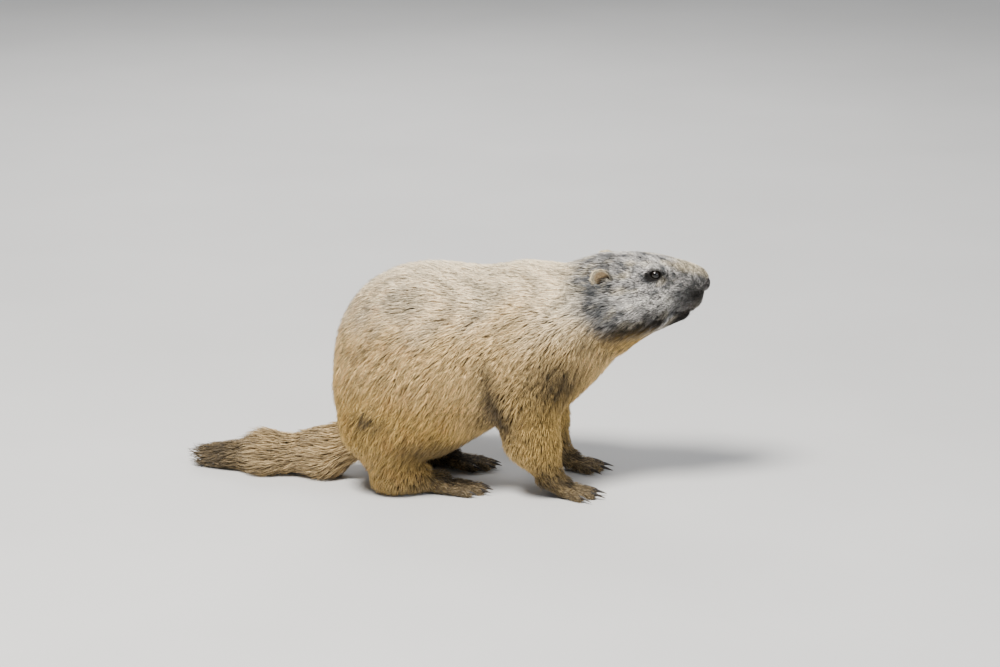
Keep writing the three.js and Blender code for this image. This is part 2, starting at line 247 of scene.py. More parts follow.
def coat_lie(p, weight):
    """The way the hair points: rearwards on the back, down and back on the flanks, down the legs."""
    x, y, z = p[:, 0], p[:, 1], p[:, 2]
    side = np.sign(y)
    one, none = np.ones_like(x), np.zeros_like(x)
    flank = ramp(210 - z, 0, 95)
    rump = ramp(-10 - x, 0, 70)
    belly = ramp(78 - z, 0, 30)
    throat = ramp(190 - z, 0, 40)
    cheek = ramp(205 - z, 0, 30) * ramp(225 - x, 0, 25)
    snout = ramp(x, 222, 246)
    ways = [
        (0.5 * rump * flank - 1, 0.10 * side, -0.12 - 1.25 * flank + 1.0 * belly),
        (-one, 0.10 * side, -0.25 - 1.5 * throat),
        (-one, side * (0.18 * cheek + 0.5 * snout), -0.05 - 0.75 * cheek + snout * (z - 212) / 14),
        (-one, 0.10 * one, -0.10 * one),
        (-0.25 + 0.2 * ramp(60 - z, 0, 30), 0.15 * side, -one),
        (one, none, -0.35 * one),
        (-0.45 * one, 0.1 * side, -one),
        (one, none, -0.3 * one),
    ]
    return unit(np.stack([blended(weight, [w[axis] for w in ways]) for axis in range(3)], 1))


probe = np.array([[0.0, 0, 215], [245, 0, 215]])
probe_shares = shares(part_distances(probe))
print("the coat on the back and on the snout:", coat_depth(probe, probe_shares).round(1), "mm deep")
print("its lie there:", coat_lie(probe, probe_shares).round(2).tolist())

# %% [markdown]
# ## The skin
# The skin is the outline moved inwards by the coat's depth. Round each eye it rises into a lid, and an
# almond shape is cut from that lid. The lips meet in a groove, and a fold lies behind each foreleg. A
# skin like this could be sculpted, but its field is already known, so it is meshed straight from the
# field.

# %% The skin's field
LID = 0.9
EYE_AXIS = unit(np.array([0.22, 0.95, 0.20]))
ALMOND = (6.6, 5.2, 4.3)
FOLD = ((46, 82, 152), (59, 70, 82))
MOUTH = [(225, 186.5), (236, 184.5), (262, 184)]


def mirrored_side(p):
    return np.stack([p[:, 0], np.abs(p[:, 1]), p[:, 2]], 1)


def mouth_line(p):
    """Distance, seen from the side, to the line along which the lips meet."""
    flat = np.stack([p[:, 0], 0 * p[:, 1], p[:, 2]], 1)
    stretches = zip(MOUTH, MOUTH[1:])
    return np.minimum(*[limb(flat, (a, 0, c), (b, 0, d), 0.0, 0.0) for (a, c), (b, d) in stretches])


def skin_field(p):
    """outline + coat depth, joined with the lids, less an almond opening, the mouth's groove and the fold
    behind the foreleg, and cut level at the floor."""
    d = part_distances(p)
    inner = outline(d) + coat_depth(p, shares(d))
    s = mirrored_side(p)
    lids = ball(s, EYE, (EYE_RADIUS + LID + 1.4, EYE_RADIUS + LID, EYE_RADIUS + LID - 0.2))
    inner = join(inner, lids, 5.0)
    opening = ball(s, EYE + EYE_AXIS * 5.6, ALMOND, -8)
    inner = -join(-inner, opening, 0.5)
    inner = -join(-inner, np.maximum(mouth_line(s) - 1.2, -2.6 - inner), 0.8)
    inner = -join(-inner, limb(s, *FOLD, 6.5, 4.0), 6.0)
    return np.maximum(inner, -p[:, 2])


def by_chunks(function, p, size=150_000):
    """The same function on a long array, in pieces that stay quick to work on."""
    return np.concatenate([function(p[n:n + size]) for n in range(0, len(p), size)])


def slope(function, p, step=0.4):
    """The field's gradient: the difference between one step ahead and one step back, on each axis."""
    sides = [(p + shift, p - shift) for shift in np.eye(3, dtype=p.dtype) * step]
    return np.stack([(by_chunks(function, a) - by_chunks(function, b)) / (2 * step) for a, b in sides], 1)

# %% [markdown]
# A field is meshed like this: where the sign changes along a grid edge, the surface crosses it. Each
# cell that is crossed gets one vertex, and the four cells round a crossed edge share one quad.

# %% Where the surface crosses the grid
def crossings(grid, value, inside):
    """For each cell, the sum of the places where the surface crosses its edges, and how many there are."""
    shape = value.shape
    total = np.zeros([n - 1 for n in shape] + [3], np.float32)
    count = np.zeros([n - 1 for n in shape], np.float32)
    for axis in range(3):
        here = [slice(None)] * 3
        there = [slice(None)] * 3
        here[axis], there[axis] = slice(None, -1), slice(1, None)
        here, there = tuple(here), tuple(there)
        crossed = inside[here] != inside[there]
        share = np.where(crossed, value[here] / np.where(crossed, value[here] - value[there], 1), 0)
        place = grid[here] + share[..., None] * (grid[there] - grid[here])
        place = place * crossed[..., None]
        others = [a for a in range(3) if a != axis]
        for i in (0, 1):
            for j in (0, 1):
                window = [slice(None)] * 3
                window[others[0]] = slice(i, i + total.shape[others[0]])
                window[others[1]] = slice(j, j + total.shape[others[1]])
                total += place[tuple(window)]
                count += crossed[tuple(window)]
    return total, count

# %% [markdown]
# A quad is listed from the numbers of the four cells around its edge. Which way round it goes depends on
# which end of the edge is inside, so that every face looks outwards.

# %% The quads, and the whole mesh
def quads_round_edges(inside, number):
    """One quad for each crossed edge, from the numbers of its four cells, turned to face outwards."""
    quads = []
    for axis in range(3):
        b, c = (axis + 1) % 3, (axis + 2) % 3
        core = [slice(1, -1)] * 3
        core[axis] = slice(None, -1)
        ahead = list(core)
        ahead[axis] = slice(1, None)
        now, then = inside[tuple(core)], inside[tuple(ahead)]
        places = np.argwhere(now != then) + [0 if a == axis else 1 for a in range(3)]
        into = now[now != then]
        step_b, step_c = np.eye(3, dtype=int)[b], np.eye(3, dtype=int)[c]
        ring = [places - step_b - step_c, places - step_c, places, places - step_b]
        quad = np.stack([number[tuple(r.T)] for r in ring], 1)
        quad[~into] = quad[~into][:, ::-1]
        quads.append(quad)
    return np.concatenate(quads)


def mesh_field(function, xs, ys, zs):
    """Vertices at the mean of the crossings on a cell's edges, pulled three times towards the surface: each
    moves by its distance along the slope."""
    grid = np.stack(np.meshgrid(xs, ys, zs, indexing="ij"), -1)
    value = by_chunks(function, grid.reshape(-1, 3)).reshape(grid.shape[:3])
    inside = value < 0
    total, count = crossings(grid, value, inside)
    used = count > 0
    number = np.full(count.shape, -1, np.int64)
    number[used] = np.arange(used.sum())
    vertices = total[used] / count[used][:, None]
    for _ in range(3):
        g = slope(function, vertices)
        vertices = vertices - g * (function(vertices) / np.maximum((g * g).sum(1), 0.3))[:, None]
    return vertices, quads_round_edges(inside, number)

# %% [markdown]
# The grid is finer at the head and the paws, which are looked at closely, than on the body, which fur
# hides.

# %% The skin's mesh
def spaced(stops):
    """Grid lines from one stop to the next, each stretch with its own spacing."""
    lines = [np.arange(a, b, step) for (a, step), (b, _) in zip(stops, stops[1:])]
    return np.concatenate(lines + [[stops[-1][0]]]).astype(np.float32)


FINE = 1.0
skin_xs = spaced([(-268, 2.5 * FINE), (186, 1.25 * FINE), (268, 1)])
skin_ys = spaced([(-102, 2.6 * FINE), (-36, 1.5 * FINE), (36, 2.6 * FINE), (102, 1)])
skin_zs = spaced([(-3, 1.6 * FINE), (30, 2.6 * FINE), (176, 1.5 * FINE), (246, 1)])
skin_vertices, skin_quads = mesh_field(skin_field, skin_xs, skin_ys, skin_zs)
skin_vertices[:, 2] = np.maximum(skin_vertices[:, 2], 0)
skin_normals = unit(slope(skin_field, skin_vertices))
print("skin:", len(skin_vertices), "vertices,", 2 * len(skin_quads), "triangles")

# %% [markdown]
# ## Markings
# An old alpine marmot is cream on the back, ochre on the flanks and the haunches, and grizzled slate
# grey on the head, with a pale bridge to the nose and a dark mouth. One function gives the colour of any
# place, and both the skin and the hair rooted in it read that function, so that their markings always
# agree.

# %% Colours of the coat
def linear(red, green, blue):
    """A colour as the eye counts it, 0 to 255, turned into amounts of light: v to the power 2.2."""
    return (np.array([red, green, blue], float) / 255) ** 2.2


CREAM = linear(252, 234, 200)
OCHRE = linear(240, 206, 146)
GOLD = linear(208, 170, 92)
RUSSET = linear(190, 134, 78)
UMBER = linear(92, 78, 56)
GRIZZLE = linear(208, 204, 200)
SLATE = linear(76, 80, 84)
STRAW = linear(226, 212, 182)
SOOT = linear(40, 36, 32)
PALE = linear(232, 228, 220)
PAW_BROWN = linear(158, 138, 106)
TAIL_TAN = linear(186, 160, 118)


def spot(p, centre, radii):
    """A soft round patch: exp(-|(p - centre) / radii| squared)."""
    q = (p - np.array(centre, float)) / np.array(radii, float)
    return np.exp(-(q * q).sum(1))


def waves(p, size, seed):
    """A smooth random value, about -1 to 1: the mean of six sines that run in random directions."""
    rng = np.random.default_rng(seed)
    way = unit(rng.normal(size=(6, 3))) * (2 * math.pi / size)
    phase = rng.uniform(0, 2 * math.pi, 6)
    return np.sin(p @ way.T + phase).mean(1) * 1.8


print("one step of the palette, cream, in amounts of light:", CREAM.round(2))

# %% [markdown]
# A mark is a colour, and how much of it lies at each place. The body is cream above and gold below, with
# painted shade in the fold behind the foreleg, behind the elbow, at the thigh, along the crease under the
# flank and under the belly, and at the shoulder darker hair under a painted shadow. The toes are pale with
# painted shade in the gaps between them, and the tail ends nearly black.

# %% Marks of the body, the paws and the tail
def between_toes(p):
    """1 where two toes are about equally near, and 0 where one is nearer than the next by 4.5 mm."""
    paws = [(FORE_ROOT, FORE_SPREAD, FORE_TOES), (HIND_ROOT, HIND_SPREAD, HIND_TOES)]
    far = np.stack([limb(p, knuckle(root, spread, toe), (*toe, TOE_TIP_HEIGHT), 7, TOE_TIP_RADIUS)
                    for root, spread, toes in paws for toe in toes])
    nearest = np.partition(far, 1, axis=0)[:2]
    return 1 - ramp(nearest[1] - nearest[0], 1.0, 4.5)


def body_marks(p, s, uneven, share):
    """Bands by height, streaks of russet, painted shade in the folds, creases and under the belly, and at
    the shoulder darker hair under a painted shadow.
    """
    x, z = s[:, 0], s[:, 2]
    streaks = waves(p, 17, 3) + 0.6 * waves(p, 41, 4)
    patchy = 0.65 + 0.55 * waves(p, 9, 7)
    fold = limb(s.astype(np.float64), *FOLD, 0.0, 0.0)
    return [
        (CREAM, ramp(z + uneven, 150, 208)),
        (GOLD, 0.85 * ramp(160 - z + uneven, 0, 80) * ramp(60 - x, 0, 60)),
        (RUSSET, 0.26 * ramp(streaks, 0.25, 1.0) * ramp(60 - x, 0, 120)),
        (GOLD, 0.8 * ramp(160 - z, 0, 70) * ramp(x, 40, 90)),
        # Painted shadow under the shoulder fur, laid over hair that is darker there too.
        (UMBER, 0.7 * spot(s, (112, 62, 128), (34, 40, 26))),
        (SOOT, 0.75 * patchy * spot(s, (114, 62, 126), (28, 36, 19))),
        # Painted shade in the fold behind the foreleg.
        (UMBER, 0.9 * np.exp(-(np.maximum(fold - 4, 0) / 7) ** 2)),
        (SOOT, 0.9 * patchy * np.exp(-(np.maximum(fold - 3, 0) / 5) ** 2)),
        # Painted shade behind the elbow.
        (UMBER, 1.2 * patchy * spot(s, (60, 52, 84), (26, 32, 22))),
        # Painted shade at the back of the thigh, where it bulges over the shank.
        (UMBER, 1.1 * patchy * spot(s, (-66, 84, 88), (20, 24, 10))),
        # Painted shade along the crease under the flank.
        (UMBER, 0.8 * patchy * spot(s, (-8, 70, 66), (36, 40, 9))),
        # Painted shade under the belly.
        (UMBER, 0.80 * ramp(76 - z, 0, 22) * share["trunk"]),
        (UMBER, 0.45 * patchy * ramp(58 - z, 0, 34) * share["foreleg"]),
    ]


def paw_and_tail_marks(p, s, uneven, share):
    """Pale paws with painted shade between the toes, and a tail that darkens towards its tip."""
    on_paw = share["forepaw"] + share["hindpaw"]
    return [
        (PAW_BROWN, on_paw),
        # Painted shade in the gaps between the toes.
        (SOOT, 0.92 * on_paw * between_toes(s)),
        (SOOT, 0.45 * on_paw * ramp(waves(p, 9, 5), 0.0, 0.9)),
        (TAIL_TAN, share["tail"]),
        (SOOT, 0.80 * ramp(-150 - s[:, 0] + 1.5 * uneven, 0, 105) * share["tail"]),
    ]

# %% [markdown]
# The head is grizzled: pale and slate hairs mixed, slate behind and below the ear, pale on the cheek, a
# sooty stripe along the jaw with a golden fringe under it. The bridge of the nose is straw, and the
# mouth is dark.

# %% Marks of the head
JAW_STRIPE = ((144, 48, 163), (212, 28, 180))


def head_marks(p, s, uneven):
    """The grizzle of the head, the cheek, the stripe along the jaw, the fringe under it, and painted shade
    below the jaw.
    """
    x, z = s[:, 0], s[:, 2]
    on_head = ramp(x + 0.16 * (z - 200) + 0.8 * uneven, 126, 150) * ramp(z + 0.35 * (x - 200), 148, 168)
    stripe = np.maximum(limb(s.astype(np.float64), *JAW_STRIPE, 1.0, 1.0), 0)
    broken = 0.8 + 0.3 * waves(p, 8, 9)
    return [
        (GRIZZLE, on_head),
        (SLATE, on_head * (0.30 + 0.50 * waves(p, 13, 6))),
        (SLATE, 0.85 * on_head * ramp(waves(p, 6, 8), 0.1, 0.8)),
        (SLATE, on_head * spot(s, EAR + (9, 0, -9), (7, 12, 7))),
        (SLATE, 0.90 * on_head * spot(s, (147, 44, 206), (11, 26, 24))),
        (SLATE, 0.80 * on_head * spot(s, (162, 44, 190), (15, 26, 12))),
        (STRAW, 0.45 * on_head * ramp(waves(p, 15, 14), 0.1, 0.9)),
        (PALE, 0.75 * spot(s, (188, 42, 200), (19, 20, 8))),
        (PALE, 0.85 * spot(s, (221, 26, 199), (11, 14, 9))),
        (SOOT, 1.3 * broken * np.exp(-stripe ** 2 / 80) * ramp(s[:, 1], 14, 26)),
        (SOOT, 0.60 * spot(s, (203, 36, 187), (10, 12, 6))),
        (GOLD, 0.9 * spot(s, (192, 18, 161), (32, 26, 10))),
        # Painted shade under the jaw, broken up among the locks of the fringe.
        (SOOT, 0.7 * spot(s, (180, 18, 158), (34, 30, 13)) * ramp(waves(p, 7, 15), 0.0, 0.6)),
    ]


def face_marks(s):
    """The bridge of the nose, the muzzle, the mouth, a pale brow, and dark rims and corners to the eyes."""
    x, z = s[:, 0], s[:, 2]
    from_eye = s - EYE
    rim = np.hypot(from_eye[:, 0] / 7.8, (from_eye[:, 2] - 0.2) / 4.9)
    return [
        (STRAW, 0.9 * ramp(x, 214, 240) * ramp(z - 0.9 * s[:, 1], 208, 218)),
        (SLATE, 0.8 * spot(s, (238, 20, 200), (18, 14, 14))),
        (SOOT, 0.95 * spot(s, (247, 16, 204), (13, 14, 11))),
        (SOOT, 0.95 * spot(s, (257, 0, 203), (7, 16, 10))),
        (SOOT, 1.1 * ramp(x + 0.8 * (188 - z), 226, 240) * ramp(x, 212, 222) * ramp(194 - z, 0, 8)),
        (PALE, 0.80 * spot(s, EYE + (-1, -2, 8.4), (11, 6, 2.2))),
        (SOOT, 0.85 * spot(s, EYE + (10, -1, -1.0), (6, 5, 2.6))),
        (SOOT, 0.25 * spot(s, EYE + (-10, 0, -0.5), (5, 5, 2.2))),
        (SOOT, ramp(1.10 - rim, 0, 0.16) * ramp(s[:, 1], 10, 14)),
    ]

# %% [markdown]
# Each mark in turn is laid over the ones before it. The borders wander a little, because the height and
# length that they are read from are moved by slow waves.

# %% The markings as one function
def marking(p):
    """The colour at a place: old + (new - old) amount, mark after mark."""
    s = mirrored_side(p)
    share = dict(zip(PARTS, shares(part_distances(p))))
    uneven = 9 * waves(p, 60, 1) + 5 * waves(p, 23, 2)
    marks = body_marks(p, s, uneven, share) + paw_and_tail_marks(p, s, uneven, share)
    marks += head_marks(p, s, uneven) + face_marks(s)
    colour = np.repeat(OCHRE[None], len(p), 0)
    for new, amount in marks:
        colour = colour + (new - colour) * np.clip(amount, 0, 1)[:, None]
    return colour


skin_tone = marking(skin_vertices)
print("the skin's mean colour, in amounts of light:", skin_tone.mean(0).round(3))

# %% [markdown]
# ## From arrays to objects
# Every piece is a plain mesh in metres with its place in its vertices. Colour, and how far along a hair
# a point is, are stored as attributes of the mesh, which a material can read and which stay with the
# piece.

# %% Making a piece
def make_piece(name, vertices, faces, slot, material, smooth=True):
    """Vertices in millimetres and faces of one size, put into a mesh with foreach_set."""
    mesh = bpy.data.meshes.new(name)
    corners = faces.shape[1]
    mesh.vertices.add(len(vertices))
    mesh.vertices.foreach_set("co", (np.asarray(vertices, np.float32) * MM).ravel())
    mesh.loops.add(faces.size)
    mesh.loops.foreach_set("vertex_index", faces.astype(np.int32).ravel())
    mesh.polygons.add(len(faces))
    mesh.polygons.foreach_set("loop_start", np.arange(0, faces.size, corners, dtype=np.int32))
    mesh.polygons.foreach_set("use_smooth", np.full(len(faces), smooth))
    mesh.update(calc_edges=True)
    mesh.validate()
    piece = bpy.data.objects.new(name, mesh)
    bpy.context.scene.collection.objects.link(piece)
    mesh.materials.append(material)
    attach(piece, "root")
    return piece


def add_tone(piece, colour):
    """The colour of each vertex, as the attribute tone."""
    tone = piece.data.attributes.new("tone", "FLOAT_COLOR", "POINT")
    full = np.ones((len(colour), 4), np.float32)
    full[:, :3] = colour
    tone.data.foreach_set("color", full.ravel())


def add_value(piece, name, value):
    """One number for each vertex, as an attribute."""
    layer = piece.data.attributes.new(name, "FLOAT", "POINT")
    layer.data.foreach_set("value", np.asarray(value, np.float32))

# %% [markdown]
# ## Materials
# Hair is dark at its root, partly its own colour and partly painted shade deep in the coat, and pale at its
# tip, with a soft shine. Bare skin is matt and finely creased, the eye is wet, and claws are horn with
# faint growth lines. All of it is made from nodes.

# %% Node helpers
def new_material(name, **sockets):
    """A material whose own sockets hold the values that are the same all over."""
    material = bpy.data.materials.new(name)
    material.use_nodes = True
    shader = material.node_tree.nodes["Principled BSDF"]
    for socket, value in sockets.items():
        shader.inputs[socket.replace("_", " ")].default_value = value
    return material, material.node_tree, shader


def add_node(tree, kind, **values):
    node = tree.nodes.new(kind)
    for key, value in values.items():
        if key in node.inputs:
            node.inputs[key].default_value = value
        else:
            setattr(node, key, value)
    return node


def attribute(tree, name):
    return add_node(tree, "ShaderNodeAttribute", attribute_name=name)


def noise(tree, scale, detail=3.0):
    """Noise on the object's own coordinates, scale counted in waves to the metre."""
    place = add_node(tree, "ShaderNodeTexCoord")
    texture = add_node(tree, "ShaderNodeTexNoise", Scale=scale, Detail=detail)
    tree.links.new(place.outputs["Object"], texture.inputs["Vector"])
    return texture


def ramp_node(tree, source, *stops):
    """Colours or greys at given places along 0 to 1."""
    node = add_node(tree, "ShaderNodeValToRGB")
    elements = node.color_ramp.elements
    while len(elements) < len(stops):
        elements.new(0.5)
    for element, (position, shade) in zip(elements, stops):
        element.position = position
        element.color = (*([shade] * 3 if np.isscalar(shade) else shade), 1)
    tree.links.new(source, node.inputs["Fac"])
    return node


def multiply(tree, a, b):
    """Two colours multiplied."""
    node = add_node(tree, "ShaderNodeMix", data_type="RGBA", blend_type="MULTIPLY")
    node.inputs[0].default_value = 1.0
    tree.links.new(a, node.inputs[6])
    tree.links.new(b, node.inputs[7])
    return node.outputs[2]


def bump(tree, shader, height, strength, distance):
    node = add_node(tree, "ShaderNodeBump", Strength=strength, Distance=distance)
    tree.links.new(height, node.inputs["Height"])
    tree.links.new(node.outputs["Normal"], shader.inputs["Normal"])

# %% [markdown]
# Hair takes its colour from the marking stored on it and its shading from how far along the hair a point
# is. The skin between the hairs is dull, because little light gets down to it.

# %% Hair and skin
# Darker at the root: partly the hair's own colour, partly painted shade deep in the coat.
ROOT_TO_TIP = ((0.0, 0.10), (0.4, 0.50), (0.75, 1.0), (1.0, 1.15))


def hair_material():
    """tone, darker towards the root, partly its own colour and partly painted shade deep in the coat, and
    paler at the tip, each tuft a little its own.
    """
    sockets = {"Roughness": 0.60, "Specular_IOR_Level": 0.28, "Sheen_Weight": 0.06, "Sheen_Roughness": 0.4}
    material, tree, shader = new_material("hair", **sockets)
    tone = attribute(tree, "tone")
    along = ramp_node(tree, attribute(tree, "along").outputs["Fac"], *ROOT_TO_TIP)
    banding = ramp_node(tree, noise(tree, 520).outputs["Fac"], (0.3, 0.80), (0.7, 1.10))
    colour = multiply(tree, tone.outputs["Color"], along.outputs["Color"])
    tree.links.new(multiply(tree, colour, banding.outputs["Color"]), shader.inputs["Base Color"])
    return material


def skin_material():
    """The markings, dulled as hair roots are, with fine creases."""
    material, tree, shader = new_material("skin", Roughness=0.8, Specular_IOR_Level=0.25)
    tone = attribute(tree, "tone")
    dull = ramp_node(tree, noise(tree, 700, 6).outputs["Fac"], (0.25, 0.16), (0.75, 0.46))
    colour = multiply(tree, tone.outputs["Color"], dull.outputs["Color"])
    tree.links.new(colour, shader.inputs["Base Color"])
    bump(tree, shader, noise(tree, 900, 8).outputs["Fac"], 0.6, 0.001)
    return material


HAIR = hair_material()
SKIN = skin_material()
print("hair and skin:", len(HAIR.node_tree.nodes), "and", len(SKIN.node_tree.nodes), "nodes")

# %% [markdown]
# The eye is the one wet place on the animal, the nose is leather, and claws are horn. Their gloss is set
# on the shader's own sockets, and nodes give them their colours and their grain.

# %% Eye, nose and claw
PUPIL_TO_RIM = ((0.36, (0.001, 0.001, 0.001)), (0.44, (0.008, 0.005, 0.003)),
                (0.80, (0.005, 0.003, 0.002)), (0.95, (0.002, 0.002, 0.002)))
NOSE_SHADES = ((0.3, (0.012, 0.009, 0.008)), (0.7, (0.040, 0.030, 0.026)))
HORN_SHADES = ((0.0, (0.010, 0.008, 0.006)), (0.7, (0.030, 0.022, 0.016)), (1.0, (0.13, 0.10, 0.07)))


def eye_material():
    """A dark brown iris round a black pupil, both under a wet cornea."""
    sockets = {"Roughness": 0.08, "Specular_IOR_Level": 0.20, "Coat_Weight": 0.70, "Coat_Roughness": 0.02}
    material, tree, shader = new_material("wet eye", **sockets)
    ring = attribute(tree, "ring")
    iris = ramp_node(tree, ring.outputs["Fac"], *PUPIL_TO_RIM)
    streaks = ramp_node(tree, noise(tree, 1600).outputs["Fac"], (0.3, 0.6), (0.7, 1.2))
    colour = multiply(tree, iris.outputs["Color"], streaks.outputs["Color"])
    tree.links.new(colour, shader.inputs["Base Color"])
    return material


def nose_material():
    """Dark leather with a pebbled grain."""
    material, tree, shader = new_material("nose leather", Roughness=0.42, Specular_IOR_Level=0.5)
    shade = ramp_node(tree, noise(tree, 500).outputs["Fac"], *NOSE_SHADES)
    tree.links.new(shade.outputs["Color"], shader.inputs["Base Color"])
    grain = add_node(tree, "ShaderNodeTexVoronoi", Scale=1500.0)
    place = add_node(tree, "ShaderNodeTexCoord")
    tree.links.new(place.outputs["Object"], grain.inputs["Vector"])
    bump(tree, shader, grain.outputs["Distance"], 0.5, 0.0004)
    return material


def claw_material():
    """Black-brown horn, paler at the worn point, with fine lines along it."""
    material, tree, shader = new_material("claw horn", Roughness=0.38, Specular_IOR_Level=0.5)
    along = ramp_node(tree, attribute(tree, "along").outputs["Fac"], *HORN_SHADES)
    lines = ramp_node(tree, noise(tree, 900, 5).outputs["Fac"], (0.3, 0.7), (0.7, 1.3))
    colour = multiply(tree, along.outputs["Color"], lines.outputs["Color"])
    tree.links.new(colour, shader.inputs["Base Color"])
    bump(tree, shader, lines.outputs["Color"], 0.2, 0.0003)
    return material


WET_EYE = eye_material()
NOSE_LEATHER = nose_material()
CLAW_HORN = claw_material()
print("materials:", [material.name for material in bpy.data.materials])

# %% [markdown]
# The skin's arrays now become the piece that stands in for all the flesh. It shows only between the
# hairs, and bare on the lids, the lips and the soles.

# %% The skin's piece
skin = make_piece("skin", skin_vertices, skin_quads, "body_coat", SKIN)
add_tone(skin, skin_tone)
flesh = ["trunk", "neck", "head", "jaw", "tail"]
limbs = [f"{part}_{side}" for part in ("foreleg", "forepaw", "hindleg", "hindpaw")
         for side in ("left", "right")]
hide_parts(*flesh, *limbs)
print("the skin replaces", len(flesh) + len(limbs), "nodes")

# %% [markdown]
# ## Grids of two parameters
# Eyes, ears, nose and claws are surfaces of two parameters. A grid of points, closed round one way and
# drawn together at both ends of the other, gives a watertight piece with no seam.

# %% Closing a grid
def tube_faces(rings, around):
    """Triangles between rings of points, and a fan at each end. The two end points come last."""
    i, j = np.meshgrid(np.arange(rings - 1), np.arange(around), indexing="ij")
    here, across = i * around + j, i * around + (j + 1) % around
    up, corner = here + around, across + around
    walls = np.concatenate([
        np.stack([here, across, corner], -1).reshape(-1, 3),
        np.stack([here, corner, up], -1).reshape(-1, 3),
    ])
    j = np.arange(around)
    start, end = rings * around, rings * around + 1
    last = (rings - 1) * around
    first_cap = np.stack([(j + 1) % around, j, np.full(around, start)], 1)
    last_cap = np.stack([last + j, last + (j + 1) % around, np.full(around, end)], 1)
    return np.concatenate([walls, first_cap, last_cap])


def facing_out(vertices, faces):
    """The same triangles, turned if the volume that they hold counts as negative."""
    a, b, c = (vertices[faces[:, n]] for n in range(3))
    return faces if np.einsum("ij,ij->", a, np.cross(b, c)) > 0 else faces[:, ::-1]


def mirror(vertices, faces):
    """The right-hand copy of a left-hand piece."""
    return vertices * [1, -1, 1], faces[:, ::-1]


def upright(axis):
    """Three directions: the axis, one level with the floor across it, and the one square to both."""
    level = unit(np.cross([0, 0, 1.0], axis))
    return axis, level, np.cross(axis, level)

# %% [markdown]
# The eye is a ball that sits a little inside its lids, with a swelling in front where the cornea is.
# Each point keeps its angle from the line of sight, which the material turns into pupil, iris and rim.

# %% The eyes
EYE_GAP = 0.35


def eyeball(rings=40, around=48, cornea=0.5):
    """A sphere whose front swells by cornea exp(-(angle / 0.6) squared) where it looks out."""
    angle = np.linspace(0, math.pi, rings + 2)[1:-1]
    turn = np.linspace(0, 2 * math.pi, around, endpoint=False)
    out, level, up = upright(EYE_AXIS)
    radius = EYE_RADIUS - EYE_GAP + cornea * np.exp(-(angle / 0.6) ** 2)
    ring = np.sin(angle)[:, None, None] * (np.cos(turn)[:, None] * level + np.sin(turn)[:, None] * up)
    grid = radius[:, None, None] * (np.cos(angle)[:, None, None] * out + ring)
    ends = [out * (EYE_RADIUS - EYE_GAP + cornea), -out * (EYE_RADIUS - EYE_GAP)]
    vertices = np.concatenate([grid.reshape(-1, 3), ends]) + EYE
    ring_value = np.concatenate([np.repeat(angle, around), [0, math.pi]])
    return vertices, tube_faces(rings, around), np.clip(ring_value, 0, 1)


for side in ("left", "right"):
    vertices, faces, ring_value = eyeball()
    faces = facing_out(vertices - EYE, faces)
    if side == "right":
        vertices, faces = mirror(vertices, faces)
    eye = make_piece(f"eyeball_{side}", vertices, faces, "eye", WET_EYE)
    add_value(eye, "ring", ring_value)
    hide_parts(f"eye_{side}")
print("eyes:", EYE_RADIUS * 2, "mm across")

# %% [markdown]
# ## The nose
# The bare tip of the nose is a small pad with a comma-shaped nostril on each side and a groove down the
# middle. It is an ellipsoid whose surface is pressed in at those places.

# %% The nose pad
NOSE = np.array([252.4, 0.0, 211.5])
NOSE_RADII = np.array([7.6, 10.8, 8.0])


def nose_pad(rings=44, around=64):
    """Ellipsoid points times 1 - dent, each dent exp(-(distance on the unit ball / size) squared)."""
    angle = np.linspace(0, math.pi, rings + 2)[1:-1]
    turn = np.linspace(0, 2 * math.pi, around, endpoint=False)
    ball_grid = np.stack([
        np.repeat(np.cos(angle)[:, None], around, 1),
        np.sin(angle)[:, None] * np.cos(turn),
        np.sin(angle)[:, None] * np.sin(turn),
    ], -1).reshape(-1, 3)
    ball_grid = np.concatenate([ball_grid, [[1, 0, 0], [-1, 0, 0]]])
    side = np.abs(ball_grid[:, 1])
    ahead, up = ball_grid[:, 0], ball_grid[:, 2]
    nostril = np.exp(-((ahead - 0.78) ** 2 + (side - 0.56) ** 2 + (up + 0.05) ** 2) / 0.045)
    comma = np.exp(-((ahead - 0.45) ** 2 + (side - 0.86) ** 2 + (up - 0.12) ** 2) / 0.03)
    groove = np.exp(-(side / 0.10) ** 2) * ramp(0.35 - up, 0, 0.6) * ramp(ahead, 0, 0.5)
    press = 1 - 0.34 * nostril - 0.20 * comma - 0.09 * groove
    return ball_grid * press[:, None] * NOSE_RADII + NOSE, tube_faces(rings, around)


vertices, faces = nose_pad()
nose = make_piece("nose_pad", vertices, facing_out(vertices - NOSE, faces), "nose_leather", NOSE_LEATHER)
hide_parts("nose")
print("nose pad:", np.ptp(vertices, axis=0).round(1), "mm")

# %% [markdown]
# ## The ears
# A marmot's ears are short round cups, thick with hair at the rim. A bowl is drawn from the middle of
# its hollow out to the rim and back down behind, as one closed surface. Its colour is lifted, because
# the skin's material dulls what it is given and an ear is pale.

# %% The ears
EAR_HALF = np.array([9.0, 10.5])
EAR_LEAN = 18.0
EAR_TILT = -20.0


def turn_about(p, first, second, degrees):
    """Points turned by an angle from the first of two axes towards the second."""
    c, s = math.cos(math.radians(degrees)), math.sin(math.radians(degrees))
    turned = p.copy()
    turned[:, first] = p[:, first] * c - p[:, second] * s
    turned[:, second] = p[:, first] * s + p[:, second] * c
    return turned


